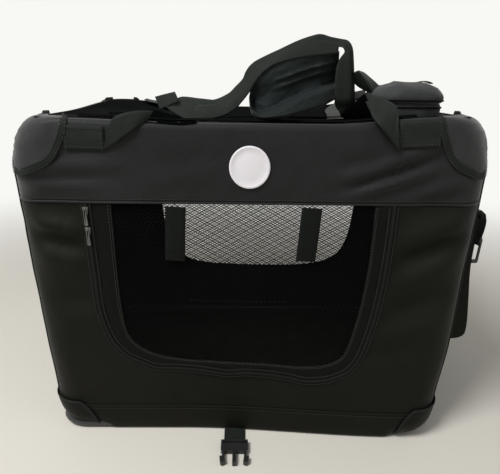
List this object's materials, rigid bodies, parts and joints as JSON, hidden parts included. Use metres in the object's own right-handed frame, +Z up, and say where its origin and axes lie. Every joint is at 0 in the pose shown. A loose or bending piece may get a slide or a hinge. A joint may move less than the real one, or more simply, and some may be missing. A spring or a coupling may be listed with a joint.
{
  "type": "dog crate",
  "caption": "Soft-sided folding dog crate: a fabric cover on a steel tube frame, with a zipped net door, carry handle, roof pouch and side pocket.",
  "frame": {"origin": "middle of the crate's underside, on the floor", "axes": "+X along the long side, to the right as seen from the doorway; the doorway faces -Y; +Z up"},
  "size_m": [0.7436, 0.6943, 0.6318],
  "materials": {
    "black_oxford": "coated plain weave",
    "black_webbing": "ribbed tape",
    "painted_steel": "satin powder coat",
    "black_plastic": "moulded, satin",
    "black_net": "open net",
    "zinc_alloy": "satin",
    "badge_white": "smooth",
    "hardboard": "raw board"
  },
  "bodies": {
    "base": {"base_tray": "black_oxford", "floor_board": "hardboard", "base_frame": "painted_steel", "left_front_hinge_bracket": "black_plastic", "left_rear_hinge_bracket": "black_plastic", "right_front_hinge_bracket": "black_plastic", "right_rear_hinge_bracket": "black_plastic", "left_front_pivot_pin": "painted_steel", "left_rear_pivot_pin": "painted_steel", "right_front_pivot_pin": "painted_steel", "right_rear_pivot_pin": "painted_steel", "front_panel": "black_oxford", "rear_panel": "black_oxford", "left_panel": "black_oxford", "right_panel": "black_oxford", "front_band": "black_oxford", "rear_window_net": "black_net", "badge": "badge_white", "top_patch_front_left": "black_oxford", "top_patch_front_right": "black_oxford", "top_patch_rear_left": "black_oxford", "top_patch_rear_right": "black_oxford", "strap_tab_front_left": "black_webbing", "strap_tab_front_right": "black_webbing", "strap_tab_rear_left": "black_webbing", "strap_tab_rear_right": "black_webbing", "side_pocket": "black_oxford"},
    "left_end": {"left_end_frame": "painted_steel"},
    "right_end": {"right_end_frame": "painted_steel"},
    "top": {"top_frame": "painted_steel", "left_front_clip": "black_plastic", "left_rear_clip": "black_plastic", "right_front_clip": "black_plastic", "right_rear_clip": "black_plastic", "roof_panel": "black_oxford", "roof_strap_front_left": "black_webbing", "roof_strap_front_right": "black_webbing", "roof_strap_rear_left": "black_webbing", "roof_strap_rear_right": "black_webbing", "pouch_body": "black_oxford"},
    "handle": {"handle_strap_front": "black_webbing", "handle_strap_rear": "black_webbing", "handle_wrap": "black_oxford"},
    "pouch_lid": {"pouch_lid": "black_oxford"},
    "front_door": {"door_border": "black_oxford", "door_net": "black_net", "door_zip_chain": "black_plastic"},
    "zip_slider_upper": {"zip_slider_upper": "zinc_alloy"},
    "zip_slider_upper_puller": {"zip_slider_upper_puller": "zinc_alloy"},
    "zip_slider_lower": {"zip_slider_lower": "zinc_alloy"},
    "zip_slider_lower_puller": {"zip_slider_lower_puller": "zinc_alloy"},
    "tie_strap_left": {"tie_strap_left": "black_webbing"},
    "tie_strap_right": {"tie_strap_right": "black_webbing"},
    "pocket_flap": {"pocket_flap": "black_oxford", "ladder_hanger": "black_webbing"},
    "ladder_buckle": {"ladder_buckle": "black_plastic"},
    "closing_strap": {"closing_strap": "black_webbing", "buckle_prongs": "black_plastic"},
    "rear_closing_strap": {"rear_closing_strap": "black_webbing", "buckle_socket": "black_plastic"}
  },
  "joints": [
    {"name": "left_fold", "type": "hinge", "parent": "base", "child": "left_end", "pos_m": [-0.33545, 0, 0.027], "axis": [0, -1, 0], "range_deg": [-90, 0]},
    {"name": "right_fold", "type": "hinge", "parent": "base", "child": "right_end", "pos_m": [0.33545, 0, 0.041], "axis": [0, 1, 0], "range_deg": [-90, 0]},
    {"name": "top_drop", "type": "slide", "parent": "base", "child": "top", "axis": [0, 0, 1], "range_m": [-0.385, 0], "deforming": ["front_panel", "rear_panel", "left_panel", "right_panel", "front_band", "rear_window_net", "badge", "side_pocket", "top_patch_front_left", "top_patch_front_right", "top_patch_rear_left", "top_patch_rear_right", "strap_tab_front_left", "strap_tab_front_right", "strap_tab_rear_left", "strap_tab_rear_right"]},
    {"name": "front_door_swing", "type": "hinge", "parent": "base", "child": "front_door", "pos_m": [0, -0.25925, 0.4105], "axis": [-1, 0, 0], "range_deg": [0, 110]},
    {"name": "tie_left_swing", "type": "hinge", "parent": "front_door", "child": "tie_strap_left", "pos_m": [-0.112, -0.2603, 0.4075], "axis": [-1, 0, 0], "range_deg": [0, 60]},
    {"name": "tie_right_swing", "type": "hinge", "parent": "front_door", "child": "tie_strap_right", "pos_m": [0.087, -0.2603, 0.4075], "axis": [-1, 0, 0], "range_deg": [0, 60]},
    {"name": "lower_zip_slide", "type": "slide", "parent": "front_door", "child": "zip_slider_lower", "axis": [0, 0, 1], "range_m": [-0.15, 0]},
    {"name": "upper_zip_slide", "type": "slide", "parent": "front_door", "child": "zip_slider_upper", "axis": [0, 0, 1], "range_m": [-0.15, 0]},
    {"name": "lower_puller_swing", "type": "hinge", "parent": "zip_slider_lower", "child": "zip_slider_lower_puller", "pos_m": [-0.2425, -0.2672, 0.37025], "axis": [0, 1, 0], "range_deg": [-60, 60]},
    {"name": "upper_puller_swing", "type": "hinge", "parent": "zip_slider_upper", "child": "zip_slider_upper_puller", "pos_m": [-0.2425, -0.2672, 0.40025], "axis": [0, 1, 0], "range_deg": [-60, 60]},
    {"name": "handle_swing", "type": "hinge", "parent": "top", "child": "handle", "pos_m": [0, -0.205, 0.5226], "axis": [1, 0, 0], "range_deg": [-30, 30]},
    {"name": "pouch_lid_swing", "type": "hinge", "parent": "top", "child": "pouch_lid", "pos_m": [0.219, -0.15, 0.5471], "axis": [-1, 0, 0], "range_deg": [0, 100]},
    {"name": "pocket_flap_swing", "type": "hinge", "parent": "base", "child": "pocket_flap", "pos_m": [0.3503, 0, 0.3818], "axis": [0, -1, 0], "range_deg": [0, 90]},
    {"name": "ladder_swing", "type": "hinge", "parent": "pocket_flap", "child": "ladder_buckle", "pos_m": [0.3844, -0.178, 0.337], "axis": [0, -1, 0], "range_deg": [0, 60]},
    {"name": "closing_strap_swing", "type": "hinge", "parent": "base", "child": "closing_strap", "pos_m": [-0.026, -0.2616, 0.001], "axis": [-1, 0, 0], "range_deg": [0, 80]},
    {"name": "rear_strap_swing", "type": "hinge", "parent": "base", "child": "rear_closing_strap", "pos_m": [-0.026, 0.2616, 0.001], "axis": [1, 0, 0], "range_deg": [0, 72]}
  ],
  "couplings": [
    {"joint": "right_fold", "follows": "left_fold", "ratio": 1},
    {"joint": "top_drop", "follows": "left_fold", "m_per_rad": 0.2451},
    {"joint": "upper_zip_slide", "follows": "lower_zip_slide", "ratio": 1}
  ]
}
